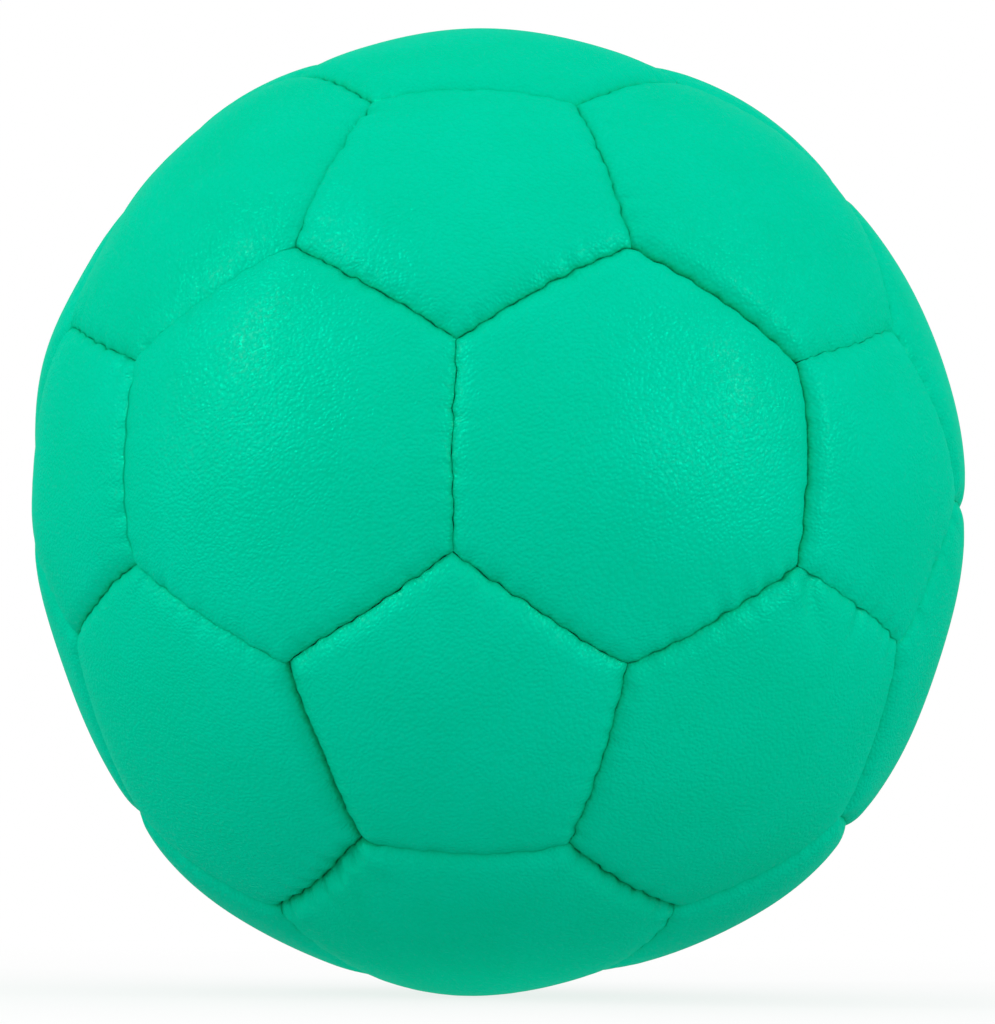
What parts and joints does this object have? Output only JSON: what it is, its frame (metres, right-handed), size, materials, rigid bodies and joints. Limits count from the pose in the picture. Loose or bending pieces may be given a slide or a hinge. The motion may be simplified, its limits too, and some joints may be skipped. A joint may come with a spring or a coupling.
{
  "type": "handball",
  "caption": "Soft stuffed handball of stitched pentagon and hexagon leather panels, for throwing and catching by hand.",
  "frame": {"origin": "middle of the ball", "axes": "+Z up, -Y towards the viewer of the picture. Each axis passes through the middle of a seam between two hexagons, and the seam at -Y runs up and down."},
  "size_m": [0.1484, 0.1484, 0.1484],
  "materials": {
    "leather": "satin",
    "thread": "satin",
    "foam": "matte",
    "backing_cloth": "matte",
    "stuffing": "matte"
  },
  "bodies": {
    "root": {"hexagon_front_left": "leather", "hexagon_front_right": "leather", "hexagon_back_left": "leather", "hexagon_back_right": "leather", "hexagon_top_front": "leather", "hexagon_top_back": "leather", "hexagon_bottom_front": "leather", "hexagon_bottom_back": "leather", "hexagon_left_high": "leather", "hexagon_left_low": "leather", "hexagon_right_high": "leather", "hexagon_right_low": "leather", "hexagon_front_left_high": "leather", "hexagon_front_right_high": "leather", "hexagon_front_left_low": "leather", "hexagon_front_right_low": "leather", "hexagon_back_left_high": "leather", "hexagon_back_right_high": "leather", "hexagon_back_left_low": "leather", "hexagon_back_right_low": "leather", "pentagon_front_high": "leather", "pentagon_front_low": "leather", "pentagon_back_high": "leather", "pentagon_back_low": "leather", "pentagon_top_left": "leather", "pentagon_top_right": "leather", "pentagon_bottom_left": "leather", "pentagon_bottom_right": "leather", "pentagon_left_front": "leather", "pentagon_left_back": "leather", "pentagon_right_front": "leather", "pentagon_right_back": "leather", "thread_front_high": "thread", "thread_front_low": "thread", "thread_back_high": "thread", "thread_back_low": "thread", "thread_top_left": "thread", "thread_top_right": "thread", "thread_bottom_left": "thread", "thread_bottom_right": "thread", "thread_left_front": "thread", "thread_left_back": "thread", "thread_right_front": "thread", "thread_right_back": "thread", "thread_hexagons_front": "thread", "thread_hexagons_back": "thread", "thread_hexagons_left": "thread", "thread_hexagons_right": "thread", "thread_hexagons_top": "thread", "thread_hexagons_bottom": "thread", "hexagon_pads": "foam", "pentagon_pads": "foam", "hexagon_backings": "backing_cloth", "pentagon_backings": "backing_cloth", "fibre_stuffing": "stuffing"}
  },
  "joints": []
}
